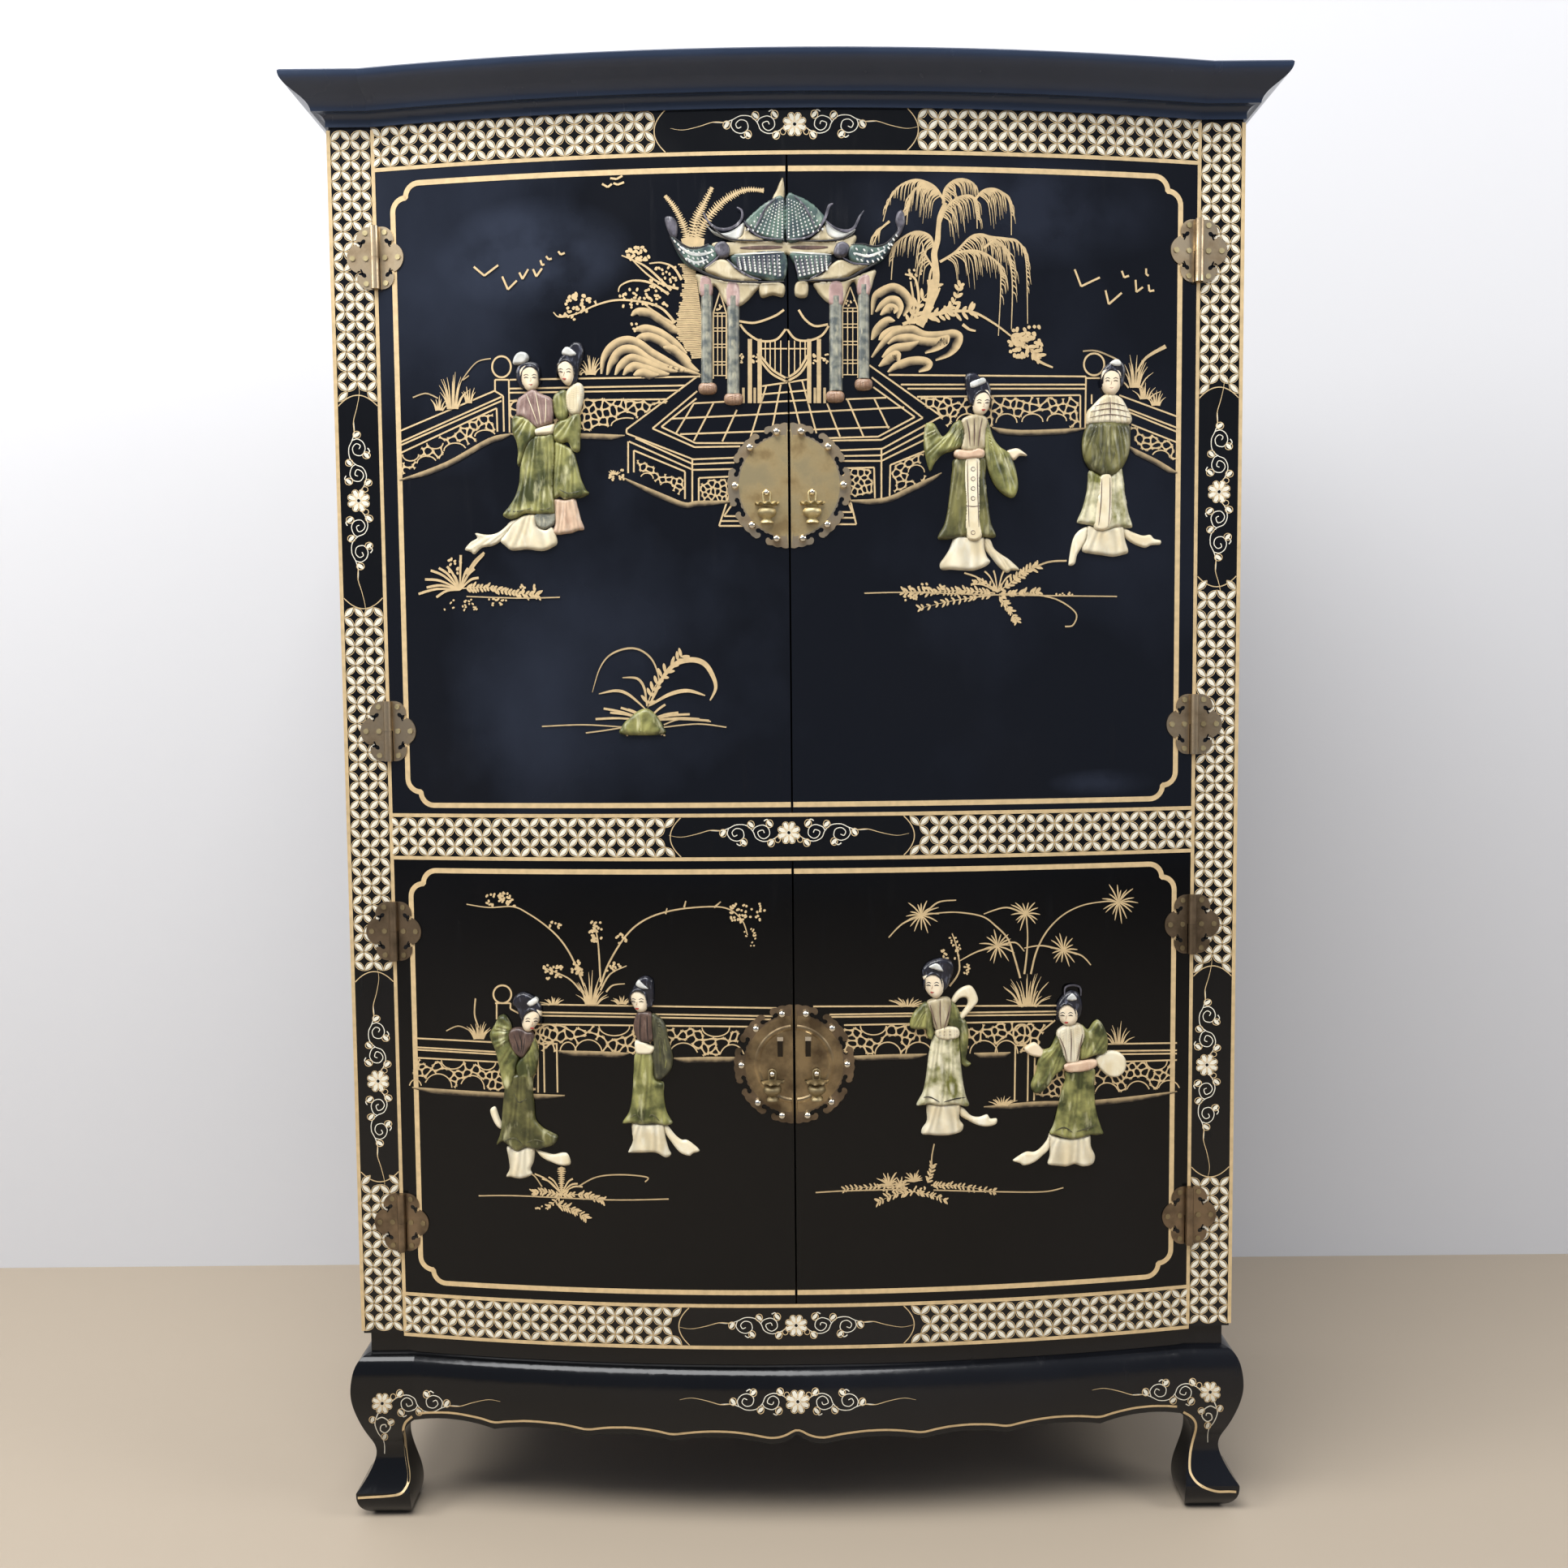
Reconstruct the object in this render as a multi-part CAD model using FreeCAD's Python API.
import FreeCAD, Part
import math
import os

# Bow-fronted lacquer cabinet on a cabriole stand, with two pairs of inset doors.
# Millimetres. +Z is up, the doors face -Y, and the origin is on the floor under
# the middle of the cabinet.

Vec = FreeCAD.Vector
UP = Vec(0, 0, 1)

# Carcass
body_width = 1100.0
body_depth = 480.0
bow_rise = 48.0
stile_width = 52.0
stile_depth = 30.0
rail_depth = 28.0
bottom_rail_height = 50.0
lower_opening_height = 561.0
middle_rail_height = 47.0
upper_opening_height = 785.0
top_rail_height = 47.0
side_thickness = 18.0
board_thickness = 18.0
back_thickness = 8.0
tenon_length = 26.0
tenon_thickness = 10.0
tenon_setback = 9.0
tenon_shoulder = 8.0

# Cornice
cornice_height = 52.0
cornice_overhang = 45.0
cornice_inner = 20.0
cornice_bead = 3.0
cornice_bead_height = 5.0
cornice_cove = 11.0
cornice_step_height = 14.0
cornice_step = 5.0
cornice_lip = 2.0

# Stand
leg_height = 213.0
waist_height = 27.0
waist_inset = 7.0
waist_thickness = 20.0
leg_width = 57.0
ankle_width = 40.0
ankle_height = 80.0
ankle_tuck = 2.0
calf_drop = 20.0
knee_bulge = 22.0
knee_drop = 48.0
toe_reach = 19.5
toe_height = 35.0
foot_width = 45.0
heel_swell = 1.0
apron_drop = 83.0
apron_thickness = 20.0
scallop_rise = 8.0
lobe_drop = 9.0
cusp_rise = 15.0
cusp_half_width = 36.0

# Doors
door_thickness = 20.0
door_gap = 2.0
meeting_gap = 2.0
stop_length = 60.0
stop_depth = 25.0
stop_overlap = 15.0
stop_upright = 24.0
stop_clearance = 0.4

# Shelves
shelf_thickness = 18.0
shelf_side_gap = 1.5
shelf_setback = 12.0
shelf_back_gap = 2.0
upper_shelf_height = 420.0
lower_shelf_height = 285.0
peg_radius = 4.0
peg_depth = 10.0
peg_reach = 13.0
peg_inset = 60.0

# Hinges
barrel_radius = 5.0
barrel_height = 74.0
barrel_standoff = 0.3
pin_radius = 2.5
pin_clearance = 0.05
knuckle_gap = 0.2
leaf_thickness = 1.5
leaf_width = 35.0
leaf_clearance = 0.5
leaf_lobe_radius = 18.0
leaf_tip_radius = 15.0
keyhole_radius = 2.8
keyhole_sink = 2.0
leaf_tip_centre = 8.0
leaf_web_margin = 3.0
leaf_screw_u = 12.0
leaf_screw_edge = 7.0
upper_hinge_inset = 107.0
lower_hinge_inset = 95.0
screw_radius = 1.6
screw_head_radius = 3.2
screw_head_height = 1.0
screw_length = 12.0

# Lock plates, studs and pulls
plate_radius = 74.0
plate_thickness = 1.5
plate_edge_gap = 0.5
upper_plate_raise = 3.5
lower_plate_raise = 25.0
notch_depth = 13.0
notch_width = 3.0
curl_radius = 3.2
scallop_count = 52
scallop_depth = 1.0
notch_angles = (62.0, 20.5, -23.0, -62.5)
stud_circle = 64.5
stud_angles = (77.0, 44.0, 0.0, -46.0, -76.0)
stud_radius = 4.5
stud_shank_radius = 1.5
stud_shank_length = 12.0
stud_sink = 1.0
stud_seat = 0.03
stud_hole_clearance = 0.05
ring_radius = 45.0
ring_width = 3.0
ring_height = 1.0
staple_width = 6.5
staple_height = 24.0
staple_reach = 7.0
staple_bar = 2.2
staple_offset_x = 17.0
staple_offset_z = 23.0
pull_offset_x = 27.0
pull_offset_z = -6.0
pull_clearance = 0.5
loop_bar_radius = 1.2
loop_inner_half = 3.0
loop_length = 13.0
post_radius = 1.5
post_play = 0.3
post_ball_radius = 3.4
post_ball_standoff = 11.5
urn_rim_radius = 13.0
urn_body_radius = 10.0
urn_neck_radius = 6.5
urn_foot_radius = 9.0
urn_height = 26.0

# Carvings glued to the doors: places are x from the middle and z from the floor
figure_relief = 9.0
head_share = 0.085
robe_half = 24.0
hem_half = 30.0
waist_half = 20.0
shoulder_half = 16.0
neck_half = 9.0
pavilion_relief = 15.0
pavilion_raise = 96.0
pavilion_column_height = 150.0
pavilion_roof_height = 82.0
pavilion_dome_height = 38.0
pavilion_half_width = 142.0
pavilion_neck_half = 62.0
pavilion_upper_half = 92.0
column_width = 15.0
column_spots = (66.0, 100.0)
pedestal_width = 22.0
pedestal_height = 16.0
rock_relief = 8.0
rock_x = -181.0
rock_drop = 303.0
rock_half_width = 26.0
rock_height = 30.0

# Each figure: door row, door side, x of the feet, drop of the feet below the middle of the lock
# plate, height, and how far the sleeves and the train of the skirt reach to the left and right
figures = (
    ("upper", "left", -306.0, 84.0, 235.0, 34.0, 30.0, -86.0),
    ("upper", "left", -266.0, 68.0, 236.0, 28.0, 28.0, 0.0),
    ("upper", "right", 218.0, 106.0, 238.0, 54.0, 66.0, 48.0),
    ("upper", "right", 390.0, 100.0, 254.0, 30.0, 30.0, 62.0),
    ("lower", "left", -340.0, 137.0, 224.0, 32.0, 26.0, 60.0),
    ("lower", "left", -170.0, 112.0, 218.0, 22.0, 26.0, 50.0),
    ("lower", "right", 180.0, 88.0, 216.0, 44.0, 40.0, 58.0),
    ("lower", "right", 330.0, 125.0, 220.0, 56.0, 60.0, -64.0),
)

# Levels and lines that follow from the sizes above
half = body_width / 2
open_half = half - stile_width
bow_radius = (open_half ** 2 + bow_rise ** 2) / (2 * bow_rise)
total_depth = body_depth + bow_rise + cornice_overhang
y_front = -total_depth / 2 + cornice_overhang + bow_rise
y_back = total_depth / 2
bow_centre_y = y_front - bow_rise + bow_radius
inner_half = half - side_thickness
y_carcass = y_front + stile_depth
y_inner_back = y_back - back_thickness
z_frame = leg_height + waist_height
z_lower = z_frame + bottom_rail_height
z_middle = z_lower + lower_opening_height
z_upper = z_middle + middle_rail_height
z_top_rail = z_upper + upper_opening_height
z_cornice = z_top_rail + top_rail_height
z_top = z_cornice + cornice_height
stand_half = half - waist_inset
y_stand_front = y_front + waist_inset
y_stand_back = y_back - knee_bulge
z_apron = leg_height - apron_drop
z_lobe = z_apron - scallop_rise - lobe_drop
knee_height = leg_height - knee_drop
calf_height = z_apron - calf_drop
hinge_x = open_half - door_gap / 2
hinge_y = y_front - barrel_radius - barrel_standoff

# Each pair of doors: name, opening's bottom and top, hinge inset, raise of the lock plate
door_rows = (
    ("upper", z_upper, z_top_rail, upper_hinge_inset, upper_plate_raise),
    ("lower", z_lower, z_middle, lower_hinge_inset, lower_plate_raise),
)
sides = (("left", -1), ("right", 1))


def box(x0, x1, y0, y1, z0, z1):
    return Part.makeBox(x1 - x0, y1 - y0, z1 - z0, Vec(x0, y0, z0))


def rod(radius, length, base, direction):
    return Part.makeCylinder(radius, length, base, direction)


def prism(points, direction):
    """Closed polygon of points, extruded along a vector."""
    wire = Part.makePolygon(list(points) + [points[0]])
    return Part.Face(wire).extrude(direction)


def joined(shapes):
    """One solid out of several that touch or overlap."""
    first = shapes[0]
    if len(shapes) == 1:
        return first
    return first.fuse(shapes[1:]).removeSplitter()


def mirrored(shape):
    return shape.mirror(Vec(0, 0, 0), Vec(1, 0, 0))


def on_side(shape, sign):
    """A shape drawn for the right side, or its mirror image on the left."""
    return shape if sign > 0 else mirrored(shape)


def bow_y(x, offset):
    """Depth of the bowed face at x, moved outward by offset."""
    return bow_centre_y - math.sqrt((bow_radius + offset) ** 2 - x ** 2)


def bow_arc(x0, x1, offset, z):
    middle = (x0 + x1) / 2
    ends = [Vec(x, bow_y(x, offset), z) for x in (x0, middle, x1)]
    return Part.Arc(*ends).toShape()


def bow_slab(x0, x1, front, back, z0, z1):
    """Piece of a bowed board between two offsets from the bowed face."""
    edges = [
        bow_arc(x0, x1, front, z0),
        Part.makeLine(Vec(x1, bow_y(x1, front), z0), Vec(x1, bow_y(x1, back), z0)),
        bow_arc(x1, x0, back, z0),
        Part.makeLine(Vec(x0, bow_y(x0, back), z0), Vec(x0, bow_y(x0, front), z0)),
    ]
    return Part.Face(Part.Wire(edges)).extrude(UP * (z1 - z0))


def kink_x(offset):
    """Where the bowed face meets the flat corner, both moved outward by offset."""
    return math.sqrt(bow_rise * (2 * bow_radius - bow_rise + 2 * offset))


def front_band(end_x, front, back, z0, z1):
    """Board that is flat at both corners and bowed between them."""
    front_kink = kink_x(front)
    back_kink = kink_x(back)
    flat_front = y_front - front
    flat_back = y_front - back
    edges = [
        Part.makeLine(Vec(-end_x, flat_front, z0), Vec(-front_kink, flat_front, z0)),
        bow_arc(-front_kink, front_kink, front, z0),
        Part.makeLine(Vec(front_kink, flat_front, z0), Vec(end_x, flat_front, z0)),
        Part.makeLine(Vec(end_x, flat_front, z0), Vec(end_x, flat_back, z0)),
        Part.makeLine(Vec(end_x, flat_back, z0), Vec(back_kink, flat_back, z0)),
        bow_arc(back_kink, -back_kink, back, z0),
        Part.makeLine(Vec(-back_kink, flat_back, z0), Vec(-end_x, flat_back, z0)),
        Part.makeLine(Vec(-end_x, flat_back, z0), Vec(-end_x, flat_front, z0)),
    ]
    return Part.Face(Part.Wire(edges)).extrude(UP * (z1 - z0))


def smooth_edge(points):
    curve = Part.BSplineCurve()
    curve.interpolate(list(points))
    return curve.toShape()


# Carcass: stiles and rails are tenoned together, panels and boards stand behind them

def rail_levels():
    return (
        ("bottom_rail", z_frame, z_lower),
        ("middle_rail", z_middle, z_upper),
        ("top_rail", z_top_rail, z_cornice),
    )


def tenon(sign, z0, z1):
    y0 = y_front + tenon_setback
    shape = box(open_half, open_half + tenon_length, y0, y0 + tenon_thickness,
                z0 + tenon_shoulder, z1 - tenon_shoulder)
    return on_side(shape, sign)


def carcass_rail(z0, z1):
    pieces = [bow_slab(-open_half, open_half, 0, -rail_depth, z0, z1)]
    for _, sign in sides:
        pieces.append(tenon(sign, z0, z1))
    return joined(pieces)


def corner_stile(sign):
    shape = box(open_half, half, y_front, y_carcass, z_frame, z_cornice)
    mortises = [tenon(1, z0, z1) for _, z0, z1 in rail_levels()]
    return on_side(shape.cut(mortises), sign)


def shelf_levels():
    return (z_upper + upper_shelf_height, z_lower + lower_shelf_height)


def peg_places():
    """Height and depth of the shelf pegs on one side."""
    y_near = y_carcass + peg_inset
    y_far = y_inner_back - peg_inset
    return [(z - peg_radius, y) for z in shelf_levels() for y in (y_near, y_far)]


def shelf_peg(sign, z, y):
    shape = rod(peg_radius, peg_depth + peg_reach, Vec(inner_half - peg_reach, y, z), Vec(1, 0, 0))
    return on_side(shape, sign)


def side_panel(sign):
    shape = box(inner_half, half, y_carcass, y_back, z_frame, z_cornice)
    holes = [shelf_peg(1, z, y) for z, y in peg_places()]
    return on_side(shape.cut(holes), sign)


def carcass_board(z0):
    """Board between the side panels, its front edge cut to the bow behind a rail."""
    y_end = bow_y(open_half, -rail_depth)
    plan = [
        (open_half, y_end), (open_half, y_carcass), (inner_half, y_carcass),
        (inner_half, y_inner_back), (-inner_half, y_inner_back), (-inner_half, y_carcass),
        (-open_half, y_carcass), (-open_half, y_end),
    ]
    corners = [Vec(x, y, z0) for x, y in plan]
    edges = [bow_arc(-open_half, open_half, -rail_depth, z0)]
    for start, end in zip(corners, corners[1:]):
        edges.append(Part.makeLine(start, end))
    return Part.Face(Part.Wire(edges)).extrude(UP * board_thickness)


def shelf(z):
    reach = inner_half - shelf_side_gap
    return box(-reach, reach, y_carcass + shelf_setback, y_inner_back - shelf_back_gap,
               z, z + shelf_thickness)


def door_stop(z, upward):
    """Block behind the meeting edges; the one at the top hangs behind its rail."""
    reach = stop_length / 2
    front = -door_thickness - stop_clearance
    back = -rail_depth - stop_depth
    if upward:
        return bow_slab(-reach, reach, front, back, z, z + stop_overlap)
    lip = bow_slab(-reach, reach, front, back, z - stop_overlap, z)
    upright = bow_slab(-reach, reach, -rail_depth, back, z, z + stop_upright)
    return joined([lip, upright])


# Cornice: one moulding profile, revolved about the bow and run straight at the corners

def cornice_face(origin, outward):
    """Moulding section that stands on the frame's top edge at origin."""
    def at(out, rise):
        return origin + outward * out + UP * rise

    fillet = cornice_cove + cornice_step
    swell = cornice_height - cornice_step_height
    reach = cornice_overhang - fillet
    cove_middle = at(cornice_bead + 0.3 * (cornice_cove - cornice_bead),
                     cornice_bead_height + 0.7 * (cornice_step_height - cornice_bead_height))
    ogee = [
        at(fillet, cornice_step_height),
        at(fillet + 0.18 * reach, cornice_step_height + 0.28 * swell),
        at(fillet + 0.62 * reach, cornice_step_height + 0.52 * swell),
        at(fillet + 0.93 * reach, cornice_step_height + 0.74 * swell),
        at(cornice_overhang, cornice_height - cornice_lip),
    ]
    edges = [
        Part.makeLine(at(-cornice_inner, 0), at(cornice_bead, 0)),
        Part.makeLine(at(cornice_bead, 0), at(cornice_bead, cornice_bead_height)),
        Part.Arc(at(cornice_bead, cornice_bead_height), cove_middle,
                 at(cornice_cove, cornice_step_height)).toShape(),
        Part.makeLine(at(cornice_cove, cornice_step_height), ogee[0]),
        smooth_edge(ogee),
        Part.makeLine(ogee[-1], at(cornice_overhang - cornice_lip, cornice_height)),
        Part.makeLine(at(cornice_overhang - cornice_lip, cornice_height), at(-cornice_inner, cornice_height)),
        Part.makeLine(at(-cornice_inner, cornice_height), at(-cornice_inner, 0)),
    ]
    return Part.Face(Part.Wire(edges))


def mitre_block(sign, keep_front):
    """Space on one side of the mitre through a front corner of the cornice."""
    margin = 2 * (cornice_overhang + cornice_inner)
    corner = Vec(half, y_front, 0)
    outer = corner + Vec(margin, -margin, 0)
    inner = corner + Vec(-margin, margin, 0)
    third = inner + Vec(2 * margin, 0, 0) if not keep_front else outer + Vec(-2 * margin, 0, 0)
    shape = prism([outer, inner, third], UP * (z_top + margin))
    return on_side(shape, sign)


def kink_block(beyond):
    """Space on one side of the joint where the flat corner meets the bow, on the right."""
    margin = 2 * (cornice_overhang + cornice_inner)
    inner = Vec(kink_x(-cornice_inner), y_front + cornice_inner, 0)
    outer = Vec(kink_x(cornice_overhang), y_front - cornice_overhang, 0)
    along = (outer - inner).normalize() * margin
    reach = Vec(half if beyond else -half, 0, 0)
    corners = [inner - along, outer + along, outer + along + reach, inner - along + reach]
    return prism(corners, UP * (z_top + margin))


def cornice_front():
    """Three lengths glued at the ends of the bow: the bowed middle and two flat corners."""
    axis = Vec(0, bow_centre_y, 0)
    spare = cornice_overhang
    bow_reach = kink_x(cornice_overhang) + spare
    sweep = math.degrees(math.asin(bow_reach / bow_radius))
    section = cornice_face(Vec(0, y_front - bow_rise, z_cornice), Vec(0, -1, 0))
    section.rotate(axis, UP, -sweep)
    bowed = section.revolve(axis, UP, 2 * sweep)
    lengths = [bowed.cut([on_side(kink_block(True), sign) for _, sign in sides])]
    flat_start = kink_x(-cornice_inner) - spare
    flat_end = half + cornice_overhang + spare
    section = cornice_face(Vec(flat_start, y_front, z_cornice), Vec(0, -1, 0))
    flat = section.extrude(Vec(flat_end - flat_start, 0, 0))
    flat = flat.cut([kink_block(False), mitre_block(1, False)])
    return lengths + [on_side(flat, sign) for _, sign in sides]


def cornice_side(sign):
    section = cornice_face(Vec(half, y_front - 2 * cornice_overhang, z_cornice), Vec(1, 0, 0))
    run = section.extrude(Vec(0, y_back - y_front + 2 * cornice_overhang, 0))
    return on_side(run.cut(mitre_block(1, True)), sign)


# Stand: waist, aprons and cabriole legs

def knee_curve():
    """Swelling outer line of the knee and apron, as outward reach and height."""
    top = leg_height
    return [
        (0.0, top),
        (0.62 * knee_bulge, top - 0.16 * (top - knee_height)),
        (0.93 * knee_bulge, knee_height + 0.45 * (top - knee_height)),
        (knee_bulge, knee_height),
    ]


def leg_face(at):
    """Sawn side view of a leg; at() turns outward reach and height into a point."""
    outer = [at(u, z) for u, z in knee_curve()]
    outer += [
        at(0.72 * knee_bulge, 0.62 * knee_height + 0.38 * ankle_height),
        at(0.25 * knee_bulge, 0.28 * knee_height + 0.72 * ankle_height),
        at(-ankle_tuck, ankle_height),
        at(0.12 * toe_reach, 0.6 * ankle_height + 0.4 * toe_height),
        at(toe_reach, toe_height),
    ]
    toe = [
        at(toe_reach, toe_height),
        at(0.85 * toe_reach, 0.5 * toe_height),
        at(0.0, 0.0),
    ]
    inner = [
        at(-foot_width, 0.0),
        at(-foot_width - heel_swell, 0.6 * ankle_height),
        at(-ankle_width, calf_height),
        at(-leg_width, z_apron),
    ]
    edges = [
        smooth_edge(outer),
        smooth_edge(toe),
        Part.makeLine(toe[-1], inner[0]),
        smooth_edge(inner),
        Part.makeLine(inner[-1], at(-leg_width, leg_height)),
        Part.makeLine(at(-leg_width, leg_height), outer[0]),
    ]
    return Part.Face(Part.Wire(edges))


def leg(sign, front):
    """Square-cut cabriole leg: the same side view sawn from two faces of one block."""
    run = 2 * leg_width + 2 * knee_bulge
    y_face = y_stand_front if front else y_stand_back
    outward = -1 if front else 1
    start_y = y_face + outward * 2 * knee_bulge
    seen_front = leg_face(lambda u, z: Vec(stand_half + u, start_y, z))
    seen_front = seen_front.extrude(Vec(0, -outward * run, 0))
    start_x = stand_half + 2 * knee_bulge
    seen_side = leg_face(lambda u, z: Vec(start_x, y_face + outward * u, z))
    seen_side = seen_side.extrude(Vec(-run, 0, 0))
    return on_side(seen_front.common(seen_side), sign)


def apron_face(at):
    """Section of a swelling apron board."""
    lip = 0.55 * knee_bulge
    front = [at(u, z) for u, z in knee_curve()]
    front += [at(0.9 * knee_bulge, (knee_height + z_apron) / 2), at(lip, z_lobe)]
    inner_top = at(-apron_thickness, leg_height)
    inner_foot = at(-apron_thickness, z_lobe)
    edges = [
        smooth_edge(front),
        Part.makeLine(front[-1], inner_foot),
        Part.makeLine(inner_foot, inner_top),
        Part.makeLine(inner_top, front[0]),
    ]
    return Part.Face(Part.Wire(edges))


def scalloped_outline(reach, dips, fall, cusp, at):
    """Face of an apron seen from the front: straight top, scalloped lower edge.

    dips are the low points from one end to the middle, as distances from the middle; fall is how much
    lower the last of them hangs than the first.
    """
    low = z_apron - 0.5 * scallop_rise
    step = fall / (len(dips) - 1)
    left = [(-reach, z_apron)] + [(-dip, low - step * i) for i, dip in enumerate(dips)]
    edges = []
    for (x0, z0), (x1, z1) in zip(left, left[1:]):
        middle = at((x0 + x1) / 2, max(z0, z1) + 0.75 * scallop_rise)
        edges.append(Part.Arc(at(x0, z0), middle, at(x1, z1)).toShape())
    end_x, end_z = left[-1]
    if cusp:
        quarter = at(0.4 * end_x, end_z + 0.25 * cusp_rise)
        edges.append(Part.Arc(at(end_x, end_z), quarter, at(0, end_z + cusp_rise)).toShape())
        quarter = at(-0.4 * end_x, end_z + 0.25 * cusp_rise)
        edges.append(Part.Arc(at(0, end_z + cusp_rise), quarter, at(-end_x, end_z)).toShape())
    else:
        edges.append(Part.Arc(at(end_x, end_z), at(0, end_z + scallop_rise), at(-end_x, end_z)).toShape())
    right = [(-x, z) for x, z in reversed(left)]
    for (x0, z0), (x1, z1) in zip(right, right[1:]):
        middle = at((x0 + x1) / 2, max(z0, z1) + 0.75 * scallop_rise)
        edges.append(Part.Arc(at(x0, z0), middle, at(x1, z1)).toShape())
    edges.append(Part.makeLine(at(reach, z_apron), at(reach, leg_height)))
    edges.append(Part.makeLine(at(reach, leg_height), at(-reach, leg_height)))
    edges.append(Part.makeLine(at(-reach, leg_height), at(-reach, z_apron)))
    return Part.Face(Part.Wire(edges))


def apron_front():
    """Follows the bow, level with the legs at both ends."""
    reach = stand_half - leg_width
    distance = bow_centre_y - y_stand_front
    radius = math.hypot(reach, distance)
    axis = Vec(0, bow_centre_y, 0)
    sweep = math.degrees(math.asin((reach + leg_width) / radius))
    section = apron_face(lambda u, z: Vec(0, bow_centre_y - radius - u, z))
    section.rotate(axis, UP, -sweep)
    bowed = section.revolve(axis, UP, 2 * sweep)
    start_y = y_stand_front - bow_rise - 2 * knee_bulge
    dips = [0.785 * reach, 0.54 * reach, 0.32 * reach, cusp_half_width]
    outline = scalloped_outline(reach, dips, lobe_drop, True, lambda x, z: Vec(x, start_y, z))
    depth = bow_rise + 2 * knee_bulge + 2 * apron_thickness
    return bowed.common(outline.extrude(Vec(0, depth, 0)))


def apron_side(sign):
    y0 = y_stand_front + leg_width
    y1 = y_stand_back - leg_width
    middle = (y0 + y1) / 2
    reach = (y1 - y0) / 2
    section = apron_face(lambda u, z: Vec(stand_half + u, y0, z))
    straight = section.extrude(Vec(0, y1 - y0, 0))
    start_x = stand_half - 2 * apron_thickness
    dips = [0.62 * reach, 0.24 * reach]
    outline = scalloped_outline(reach, dips, 0.0, False, lambda y, z: Vec(start_x, middle + y, z))
    shape = straight.common(outline.extrude(Vec(2 * apron_thickness + 2 * knee_bulge, 0, 0)))
    return on_side(shape, sign)


def apron_back():
    reach = stand_half - leg_width
    return box(-reach, reach, y_stand_back - apron_thickness, y_stand_back, z_apron, leg_height)


def waist_front():
    return front_band(stand_half, -waist_inset, -waist_inset - waist_thickness, leg_height, z_frame)


def waist_side(sign):
    y0 = y_stand_front + waist_thickness
    shape = box(stand_half - waist_thickness, stand_half, y0, y_stand_back, leg_height, z_frame)
    return on_side(shape, sign)


def waist_back():
    reach = stand_half - waist_thickness
    return box(-reach, reach, y_stand_back - waist_thickness, y_stand_back, leg_height, z_frame)


# Hinges: the frame leaf holds the pin in its lower knuckle, the door leaf turns on it above

def hinge_heights(row):
    _, z0, z1, inset, _ = row
    return (z0 + inset, z1 - inset)


def leaf_screw_spots():
    """Screws of one leaf, as distance from the pin and height from the middle."""
    tip = barrel_height / 2 - leaf_screw_edge
    return ((leaf_screw_u, 0.0), (leaf_width - leaf_screw_edge, 0.0), (leaf_screw_u, tip), (leaf_screw_u, -tip))


def lobe_crotch(tip_w):
    """Outer point where the middle lobe of a leaf meets an end lobe."""
    gap_u = leaf_width - leaf_lobe_radius - leaf_tip_centre
    span = math.hypot(gap_u, tip_w)
    along = (leaf_lobe_radius ** 2 - leaf_tip_radius ** 2 + span ** 2) / (2 * span)
    across = math.sqrt(leaf_lobe_radius ** 2 - along ** 2)
    u = leaf_width - leaf_lobe_radius + (-gap_u * along + tip_w * across) / span
    w = (tip_w * along + gap_u * across) / span
    return u, w


def leaf_outline(direction, z):
    """Butterfly leaf as a thick blank; direction is the side of the pin that it lies on."""
    depth = 2 * barrel_radius + bow_rise
    start_y = y_front - depth

    def disc(u, w, radius):
        return rod(radius, 2 * depth, Vec(hinge_x + direction * u, start_y, z + w), Vec(0, 1, 0))

    tip_w = barrel_height / 2 - leaf_tip_radius
    edge = barrel_radius + leaf_clearance
    x0 = hinge_x + direction * edge
    x1 = hinge_x + direction * (leaf_width - leaf_lobe_radius)
    web = box(min(x0, x1), max(x0, x1), start_y, start_y + 2 * depth,
              z - barrel_height / 2 + leaf_web_margin, z + barrel_height / 2 - leaf_web_margin)
    shape = joined([
        web,
        disc(leaf_width - leaf_lobe_radius, 0, leaf_lobe_radius),
        disc(leaf_tip_centre, tip_w, leaf_tip_radius),
        disc(leaf_tip_centre, -tip_w, leaf_tip_radius),
    ])
    near = box(hinge_x - edge, hinge_x + edge, start_y, start_y + 2 * depth,
               z - barrel_height, z + barrel_height)
    beyond = near.translated(Vec(-direction * edge * 2, 0, 0))
    cuts = [near, beyond]
    crotch_u, crotch_w = lobe_crotch(tip_w)
    for w in (crotch_w, -crotch_w):
        cuts.append(disc(crotch_u - keyhole_sink, w, keyhole_radius))
    return shape.cut(cuts)


def knuckle(direction, z0, z1, bore):
    """Rolled half of the barrel with the strip that runs into its leaf."""
    base = Vec(hinge_x, hinge_y, z0)
    tube = rod(barrel_radius, z1 - z0, base, UP)
    reach = barrel_radius + leaf_clearance + leaf_web_margin
    x1 = hinge_x + direction * reach
    strip = box(min(hinge_x, x1), max(hinge_x, x1), y_front - bow_rise,
                y_front, z0, z1)
    return tube, strip, rod(bore, z1 - z0, base, UP)


def frame_leaf(sign, z):
    plate = leaf_outline(1, z).common(
        box(hinge_x, half + leaf_width, y_front - leaf_thickness, y_front,
            z - barrel_height, z + barrel_height))
    z0 = z - barrel_height / 2
    tube, strip, bore = knuckle(1, z0, z - knuckle_gap / 2, pin_radius)
    layer = box(open_half, half, y_front - leaf_thickness, y_front,
                z - barrel_height, z + barrel_height)
    shape = joined([plate, tube, strip.common(layer)]).cut([bore] + frame_screws(1, z))
    return on_side(shape, sign)


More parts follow.
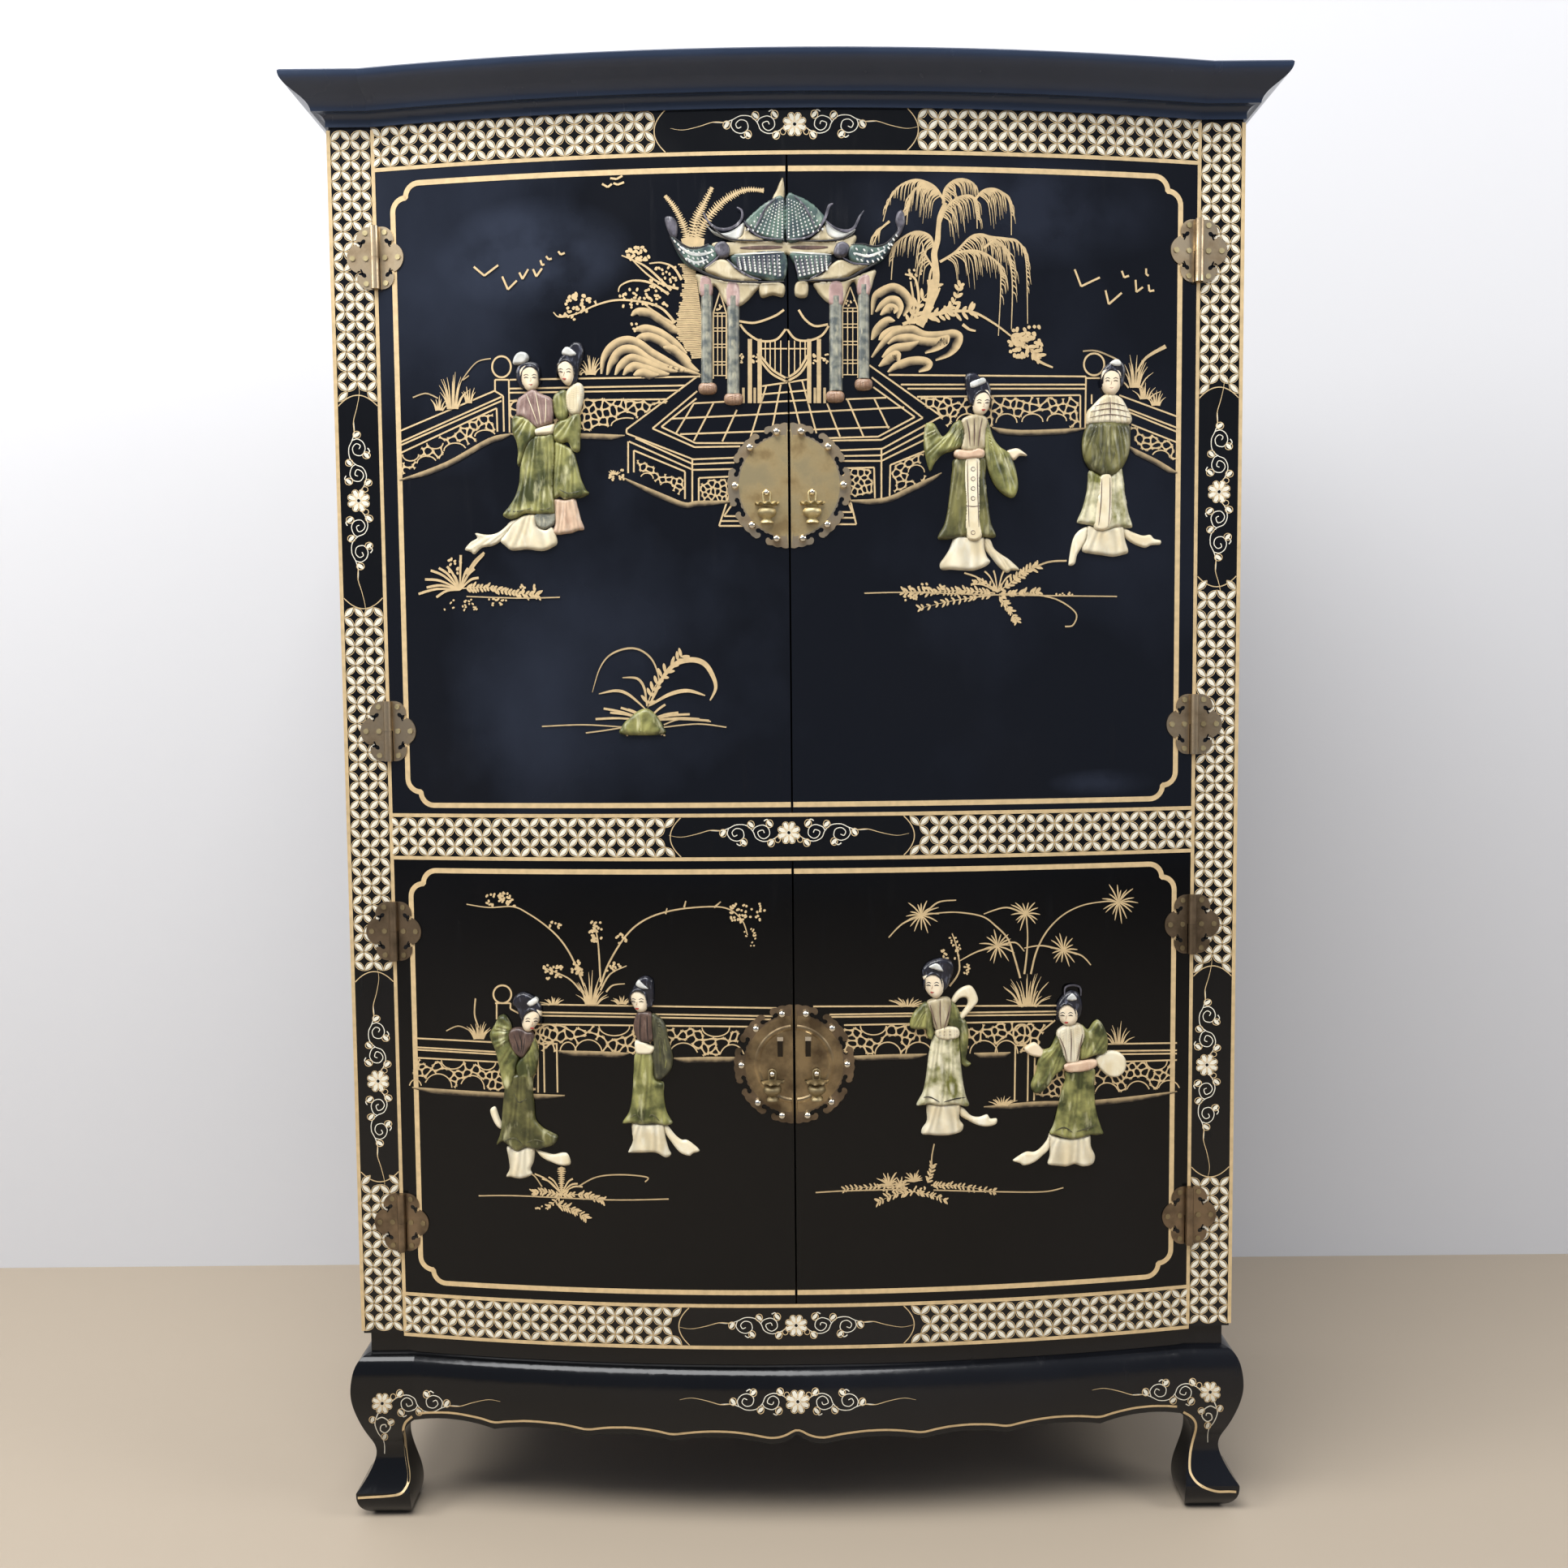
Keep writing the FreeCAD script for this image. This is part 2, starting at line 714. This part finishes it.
def door_leaf(sign, z):
    layer = bow_slab(0, open_half - door_gap, leaf_thickness, 0, z - barrel_height, z + barrel_height)
    plate = leaf_outline(-1, z).common(layer)
    z1 = z + barrel_height / 2
    tube, strip, bore = knuckle(-1, z + knuckle_gap / 2, z1, pin_radius + pin_clearance)
    shape = joined([plate, tube, strip.common(layer)]).cut([bore] + door_screws(1, z))
    return on_side(shape, sign)


def hinge_pin(sign, z):
    shape = rod(pin_radius, barrel_height, Vec(hinge_x, hinge_y, z - barrel_height / 2), UP)
    return on_side(shape, sign)


def screw(point, inward):
    """Round-headed screw whose head sits at point and whose shank runs inward."""
    head = rod(screw_head_radius, screw_head_height, point - inward * screw_head_height, inward)
    shank = rod(screw_radius, screw_length, point, inward)
    return joined([head, shank])


def frame_screws(sign, z):
    shapes = []
    for u, w in leaf_screw_spots():
        point = Vec(hinge_x + u, y_front - leaf_thickness, z + w)
        shapes.append(on_side(screw(point, Vec(0, 1, 0)), sign))
    return shapes


def door_screws(sign, z):
    shapes = []
    for u, w in leaf_screw_spots():
        x = hinge_x - u
        point = Vec(x, bow_y(x, leaf_thickness), z + w)
        inward = Vec(-x, bow_centre_y - point.y, 0).normalize()
        shapes.append(on_side(screw(point, inward), sign))
    return shapes


# Doors and what is fixed to them

def plate_centre(row):
    _, z0, z1, _, raise_up = row
    return (z0 + z1) / 2 + raise_up


def stud_spots(row):
    """Five studs on the right half plate, as x and z."""
    z = plate_centre(row)
    return [(stud_circle * math.cos(math.radians(a)), z + stud_circle * math.sin(math.radians(a)))
            for a in stud_angles]


def stud(x, z):
    """Ball-headed stud whose flat-bottomed head sits on the plate and whose shank goes into the door."""
    foot_radius = math.sqrt(stud_radius ** 2 - (stud_radius - stud_sink) ** 2)
    seat_y = bow_y(abs(x) - foot_radius, plate_thickness) - stud_seat
    ball = Part.makeSphere(stud_radius, Vec(x, seat_y - stud_radius + stud_sink, z))
    bed = box(x - stud_radius, x + stud_radius, seat_y, seat_y + stud_radius, z - stud_radius, z + stud_radius)
    shank = rod(stud_shank_radius, stud_sink + stud_shank_length, Vec(x, seat_y - stud_sink, z), Vec(0, 1, 0))
    return joined([ball.cut(bed), shank])


def stud_hole(x, z):
    y = bow_y(x, plate_thickness)
    return rod(stud_shank_radius + stud_hole_clearance, stud_radius + stud_shank_length,
               Vec(x, y - stud_radius, z), Vec(0, 1, 0))


def pull_pivot(row):
    """Middle of the loop's top bar on the right pull."""
    z = plate_centre(row) + pull_offset_z
    seat_y = bow_y(pull_offset_x, plate_thickness + ring_height + pull_clearance)
    return Vec(pull_offset_x, seat_y - loop_bar_radius, z)


def pull_post_drop():
    return loop_bar_radius + post_play + post_radius


def pull_post(row):
    """Ball-headed post that the loop of a pull hangs on."""
    pivot = pull_pivot(row)
    y = bow_y(pull_offset_x, plate_thickness)
    z = pivot.z - pull_post_drop()
    ball = Part.makeSphere(post_ball_radius, Vec(pull_offset_x, y - post_ball_standoff, z))
    shank = rod(post_radius, post_ball_standoff + stud_shank_length,
                Vec(pull_offset_x, y - post_ball_standoff, z), Vec(0, 1, 0))
    return joined([ball, shank])


def pull_post_hole(row):
    pivot = pull_pivot(row)
    y = bow_y(pull_offset_x, plate_thickness)
    return rod(post_radius + stud_hole_clearance, 2 * stud_shank_length,
               Vec(pull_offset_x, y - stud_shank_length, pivot.z - pull_post_drop()), Vec(0, 1, 0))


def door_panel(row, sign):
    _, z0, z1, _, _ = row
    shape = bow_slab(meeting_gap / 2, open_half - door_gap, 0, -door_thickness,
                     z0 + door_gap, z1 - door_gap)
    holes = [stud_hole(x, z) for x, z in stud_spots(row)]
    holes.append(pull_post_hole(row))
    for z in hinge_heights(row):
        holes += door_screws(1, z)
    return on_side(shape.cut(holes), sign)


def plate_rim(z):
    """Scalloped rim of a whole lock plate as a closed face."""
    points = []
    steps = 4 * scallop_count
    for i in range(steps):
        angle = 2 * math.pi * i / steps
        radius = plate_radius - scallop_depth * (1 - abs(math.sin(scallop_count * angle / 2)))
        points.append(Vec(radius * math.cos(angle), y_front - 2 * bow_rise, z + radius * math.sin(angle)))
    return prism(points, Vec(0, 2 * bow_rise, 0))


def lock_plate(row, sign):
    """Half of a round plate with cloud-shaped cut-outs in its rim, bent to the door."""
    z = plate_centre(row)
    blank = plate_rim(z)
    layer = bow_slab(meeting_gap / 2 + plate_edge_gap, plate_radius, plate_thickness, 0,
                     z - plate_radius, z + plate_radius)
    start_y = y_front - 2 * bow_rise
    along = Vec(0, 2 * bow_rise, 0)
    cuts = [stud_hole(x, stud_z) for x, stud_z in stud_spots(row)]
    cuts.append(pull_post_hole(row))
    for angle in notch_angles:
        a = math.radians(angle)
        out = Vec(math.cos(a), 0, math.sin(a))
        across = Vec(-math.sin(a), 0, math.cos(a))
        centre = Vec(0, start_y, z)
        root = plate_radius - notch_depth
        corners = [(root, -1), (plate_radius + scallop_depth, -1.4),
                   (plate_radius + scallop_depth, 1.4), (root, 1)]
        cuts.append(prism([centre + out * r + across * (s * notch_width / 2) for r, s in corners], along))
        for s in (-1, 1):
            hub = centre + out * (root + curl_radius) + across * (s * 1.25 * curl_radius)
            cuts.append(rod(curl_radius, 2 * bow_rise, hub, Vec(0, 1, 0)))
    shape = blank.common(layer).cut(cuts)
    solids = [shape]
    if row[0] == "lower":
        ring = rod(ring_radius, 2 * bow_rise, Vec(0, start_y, z), Vec(0, 1, 0))
        ring = ring.cut(rod(ring_radius - ring_width, 2 * bow_rise, Vec(0, start_y, z), Vec(0, 1, 0)))
        raised = bow_slab(meeting_gap / 2 + plate_edge_gap, plate_radius, plate_thickness + ring_height,
                          plate_thickness / 2, z - plate_radius, z + plate_radius)
        solids = [joined([shape, ring.common(raised)])]
        solids.append(lock_staple(z))
    return on_side(Part.makeCompound(solids), sign)


def lock_staple(z):
    """Upright loop for a padlock's bolt, standing on the right half plate."""
    x0 = staple_offset_x - staple_width / 2
    z0 = z + staple_offset_z - staple_height / 2
    y = bow_y(staple_offset_x + staple_width / 2, plate_thickness)
    outer = box(x0, x0 + staple_width, y - staple_reach, y, z0, z0 + staple_height)
    hollow = box(x0, x0 + staple_width, y - staple_reach + staple_bar, y,
                 z0 + staple_bar, z0 + staple_height - staple_bar)
    clear = bow_slab(x0, x0 + staple_width, plate_thickness, 0, z0, z0 + staple_height)
    return outer.cut(hollow).cut(clear)


def urn_pull(row, sign):
    """Half-round cast urn that hangs from a loop."""
    pivot = pull_pivot(row)
    back_y = pivot.y + loop_bar_radius
    top = -loop_length
    profile = [
        (0.0, top + 0.12 * urn_height), (urn_neck_radius, top + 0.04 * urn_height),
        (urn_rim_radius, top - 0.06 * urn_height), (0.92 * urn_rim_radius, top - 0.15 * urn_height),
        (urn_neck_radius, top - 0.21 * urn_height), (0.9 * urn_body_radius, top - 0.35 * urn_height),
        (urn_body_radius, top - 0.5 * urn_height), (0.75 * urn_body_radius, top - 0.67 * urn_height),
        (0.85 * urn_neck_radius, top - 0.77 * urn_height), (urn_foot_radius, top - 0.92 * urn_height),
        (urn_foot_radius, top - urn_height), (0.0, top - urn_height),
    ]
    centre = Vec(pivot.x, back_y, pivot.z)
    face = Part.Face(Part.makePolygon([centre + Vec(r, 0, z) for r, z in profile + profile[:1]]))
    body = face.revolve(centre, UP, -180)
    bar_half = loop_inner_half + loop_bar_radius
    pieces = [body, rod(loop_bar_radius, 2 * bar_half, Vec(pivot.x - bar_half, pivot.y, pivot.z), Vec(1, 0, 0))]
    for s in (-1, 1):
        foot = Vec(pivot.x + s * bar_half, pivot.y, pivot.z - loop_length)
        pieces.append(rod(loop_bar_radius, loop_length, foot, UP))
        pieces.append(Part.makeSphere(loop_bar_radius, Vec(pivot.x + s * bar_half, pivot.y, pivot.z)))
    return on_side(joined(pieces), sign)


def door_layer(thickness, side, z0, z1):
    """Space just in front of one door's face, up to a thickness from it."""
    shape = bow_slab(meeting_gap / 2, open_half - door_gap, thickness, 0, z0, z1)
    return shape if side == "right" else mirrored(shape)


def outline_prism(points):
    """Outline of (x, z) points on a door, drawn through the whole front of the cabinet."""
    start_y = y_front - 2 * bow_rise
    return prism([Vec(x, start_y, z) for x, z in points], Vec(0, 2 * bow_rise, 0))


def figure(x, foot_z, height, left, right, train, side):
    """Standing lady in a long robe: head, sleeves, skirt and the train of the skirt."""
    def at(u, share):
        return (x + u, foot_z + share * height)

    robe = [
        at(-robe_half, 0), at(robe_half, 0), at(hem_half, 0.17), at(waist_half, 0.55),
        at(right, 0.52), at(0.75 * right, 0.68), at(shoulder_half, 0.80), at(-shoulder_half, 0.80),
        at(-0.75 * left, 0.68), at(-left, 0.52), at(-waist_half, 0.55), at(-hem_half, 0.17),
    ]
    neck = [at(-neck_half, 0.76), at(neck_half, 0.76), at(neck_half, 0.88), at(-neck_half, 0.88)]
    head_radius = head_share * height
    head = rod(head_radius, 2 * bow_rise,
               Vec(x, y_front - 2 * bow_rise, foot_z + height - head_radius), Vec(0, 1, 0))
    pieces = [outline_prism(robe), head, outline_prism(neck)]
    if train:
        start = math.copysign(neck_half, train)
        pieces.append(outline_prism([at(start, 0.02), at(train, 0.01), at(train, 0.06), at(start, 0.17)]))
    layer = door_layer(figure_relief, side, foot_z - height, foot_z + 2 * height)
    return joined(pieces).common(layer)


def pavilion_half(row, side):
    """Half of the roofed garden house: two roofs and two columns beside the meeting line."""
    sign = 1 if side == "right" else -1
    base = plate_centre(row) + pavilion_raise
    eave = base + pavilion_column_height
    neck = eave + 0.42 * pavilion_roof_height
    top = eave + pavilion_roof_height
    roof = [
        (0, eave), (pavilion_column_span(), eave), (0.8 * pavilion_half_width, eave + 0.1 * pavilion_roof_height),
        (pavilion_half_width, eave + 0.95 * pavilion_roof_height),
        (0.85 * pavilion_half_width, neck), (pavilion_neck_half, neck + 0.2 * pavilion_roof_height),
        (pavilion_upper_half, top), (pavilion_neck_half, top),
        (0.35 * pavilion_neck_half, top + 0.8 * pavilion_dome_height), (0, top + pavilion_dome_height),
    ]
    pieces = [outline_prism(roof)]
    for spot in column_spots:
        for width, z0, z1 in ((column_width, base, eave + 1.0), (pedestal_width, base, base + pedestal_height)):
            pieces.append(outline_prism([(spot - width / 2, z0), (spot + width / 2, z0),
                                         (spot + width / 2, z1), (spot - width / 2, z1)]))
    shape = joined(pieces)
    layer = door_layer(pavilion_relief, "right", base - column_width, z_top)
    return on_side(shape.common(layer), sign)


def pavilion_column_span():
    """Distance from the middle to the outer side of the outer column."""
    return column_spots[-1] + column_width


def garden_rock(row):
    """Small carved mound under the grass on the left door."""
    z = plate_centre(row) - rock_drop
    points = []
    for i in range(7):
        angle = math.pi * i / 6
        points.append((rock_x + rock_half_width * math.cos(angle), z + rock_height * math.sin(angle)))
    return outline_prism(points).common(door_layer(rock_relief, "left", z - rock_height, z + 2 * rock_height))


def carvings(row, side):
    middle = plate_centre(row)
    shapes = []
    for figure_row, figure_side, x, drop, height, left, right, train in figures:
        if (figure_row, figure_side) == (row[0], side):
            shapes.append(figure(x, middle - drop, height, left, right, train, side))
    if row[0] == "upper":
        shapes.append(pavilion_half(row, side))
        if side == "left":
            shapes.append(garden_rock(row))
    return shapes


def without_overlap(shapes):
    """Each shape cut back where an earlier one already lies."""
    kept = []
    for shape in shapes:
        for other in kept:
            if shape.BoundBox.intersect(other.BoundBox):
                shape = shape.cut(other)
        kept.append(shape)
    return [solid for shape in kept for solid in shape.Solids]


os.makedirs("parts", exist_ok=True)


def save(name, shapes):
    shape = shapes[0] if len(shapes) == 1 else Part.makeCompound(shapes)
    shape.exportStep("parts/" + name + ".step")


for name, z0, z1 in rail_levels():
    save(name, [carcass_rail(z0, z1)])
for name, sign in sides:
    save("corner_stile_" + name, [corner_stile(sign).cut([
        s for row in door_rows for z in hinge_heights(row) for s in frame_screws(sign, z)])])
    save("side_panel_" + name, [side_panel(sign)])
    save("cornice_" + name, [cornice_side(sign)])
    save("apron_" + name, [apron_side(sign)])
    save("leg_front_" + name, [leg(sign, True)])
    save("leg_back_" + name, [leg(sign, False)])
save("back_panel", [box(-inner_half, inner_half, y_inner_back, y_back, z_frame, z_cornice)])
save("bottom_board", [carcass_board(z_lower - board_thickness)])
save("middle_board", [carcass_board(z_upper - board_thickness)])
save("top_board", [carcass_board(z_cornice - board_thickness)])
save("cornice_front", cornice_front())
save("waist_front", [waist_front()])
save("waist_returns", [waist_side(-1), waist_side(1), waist_back()])
save("apron_front", [apron_front()])
save("apron_back", [apron_back()])
for name, z in zip(("shelf_upper", "shelf_lower"), shelf_levels()):
    save(name, [shelf(z)])
save("shelf_pegs", [shelf_peg(sign, z, y) for _, sign in sides for z, y in peg_places()])
save("door_stops", [door_stop(z_top_rail, False), door_stop(z_upper, True),
                    door_stop(z_middle, False), door_stop(z_lower, True)])

hinge_spots = [(sign, z) for _, sign in sides for row in door_rows for z in hinge_heights(row)]
save("frame_hinge_leaves", [frame_leaf(sign, z) for sign, z in hinge_spots])
save("hinge_pins", [hinge_pin(sign, z) for sign, z in hinge_spots])
save("frame_hinge_screws", [s for sign, z in hinge_spots for s in frame_screws(sign, z)])

for row in door_rows:
    for side, sign in sides:
        tail = "_" + row[0] + "_" + side
        save("door" + tail, [door_panel(row, sign)])
        save("door_hinge_leaves" + tail, [door_leaf(sign, z) for z in hinge_heights(row)])
        save("door_hinge_screws" + tail, [s for z in hinge_heights(row) for s in door_screws(sign, z)])
        save("lock_plate" + tail, lock_plate(row, sign).Solids)
        studs = [on_side(stud(x, z), sign) for x, z in stud_spots(row)]
        save("lock_studs" + tail, studs + [on_side(pull_post(row), sign)])
        save("urn_pull" + tail, [urn_pull(row, sign)])
        save("carvings" + tail, without_overlap(carvings(row, side)))
